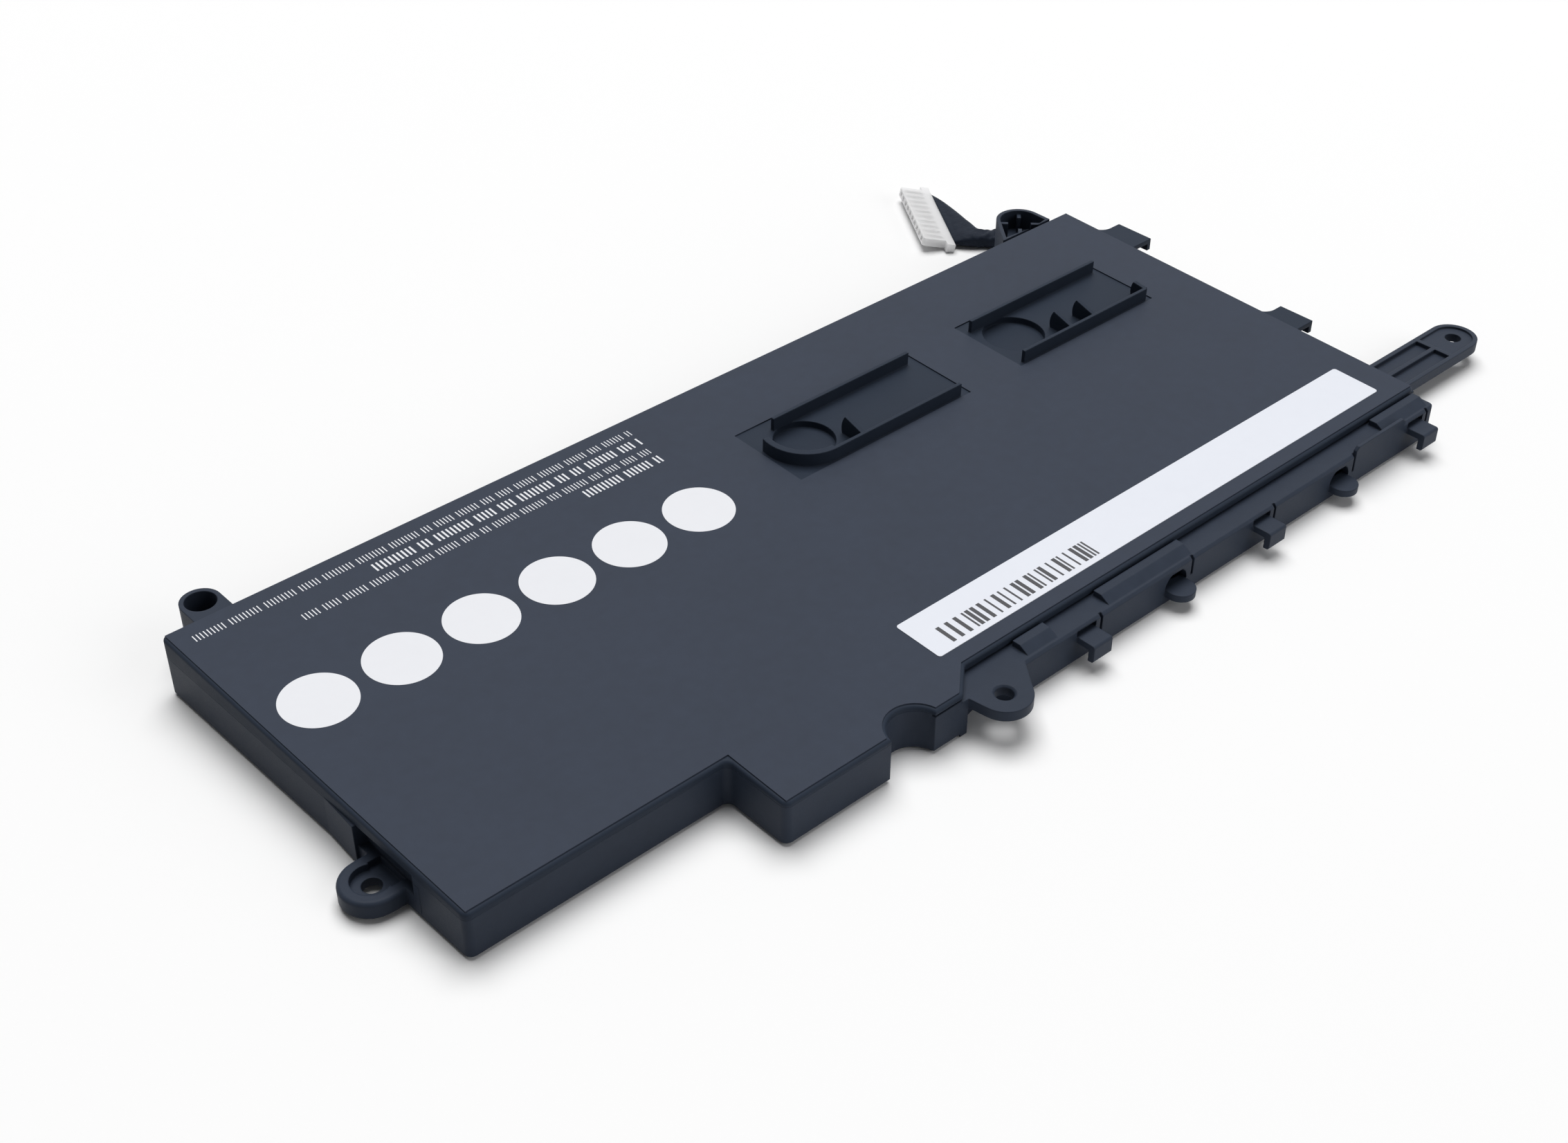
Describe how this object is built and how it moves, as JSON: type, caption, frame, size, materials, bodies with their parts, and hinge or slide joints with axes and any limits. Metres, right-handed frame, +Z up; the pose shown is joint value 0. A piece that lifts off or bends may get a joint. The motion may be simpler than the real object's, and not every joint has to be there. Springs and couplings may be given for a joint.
{
  "type": "laptop battery",
  "caption": "Flat internal laptop battery: sloping pouch-cell pack in a moulded case with screw ears, an arm, edge hooks and a short taped cable to a flat connector.",
  "frame": {"origin": "middle of the footprint, on the underside", "axes": "+X along the pack towards the arm, +Y towards the cable, +Z up"},
  "size_m": [0.2152, 0.122, 0.0122],
  "materials": {
    "housing_plastic": "moulded, fine texture",
    "film": "printed film, satin",
    "white_label": "printed sticker",
    "pouch_foil": "satin laminate",
    "tab_aluminium": "bright",
    "nickel": "plated",
    "board": "solder mask",
    "chip": "moulded",
    "ceramic": "fired",
    "paper": "pressed paper",
    "adhesive": "tacky",
    "foam": "open cell",
    "wire_red": "smooth",
    "wire_black": "smooth",
    "wire_white": "smooth",
    "wire_yellow": "smooth",
    "sleeve_tape": "crinkled tape",
    "connector_plastic": "moulded",
    "contact": "plated"
  },
  "bodies": {
    "root": {"lower_housing": "housing_plastic", "upper_cover": "housing_plastic", "top_film": "film", "white_label": "white_label", "cell_left": "pouch_foil", "cell_right": "pouch_foil", "cell_left_negative_tab": "nickel", "cell_left_positive_tab": "tab_aluminium", "cell_right_negative_tab": "nickel", "cell_right_positive_tab": "tab_aluminium", "negative_plate": "nickel", "middle_plate": "nickel", "positive_plate": "nickel", "protection_board": "board", "thermal_fuse": "ceramic", "sense_resistor": "chip", "discharge_switch": "chip", "charge_switch": "chip", "gauge_chip": "chip", "protector_chip": "chip", "thermistor": "ceramic", "board_capacitors": "ceramic", "tab_insulator": "paper", "cell_adhesive_left": "adhesive", "cell_adhesive_right": "adhesive", "foam_pad_left": "foam", "foam_pad_right": "foam", "positive_wire_outer": "wire_red", "positive_wire_inner": "wire_red", "clock_wire": "wire_white", "data_wire": "wire_white", "temperature_wire": "wire_yellow", "identity_wire": "wire_yellow", "negative_wire_inner": "wire_black", "negative_wire_outer": "wire_black", "cable_sleeve": "sleeve_tape", "connector_housing": "connector_plastic", "connector_contacts": "contact"}
  },
  "joints": []
}
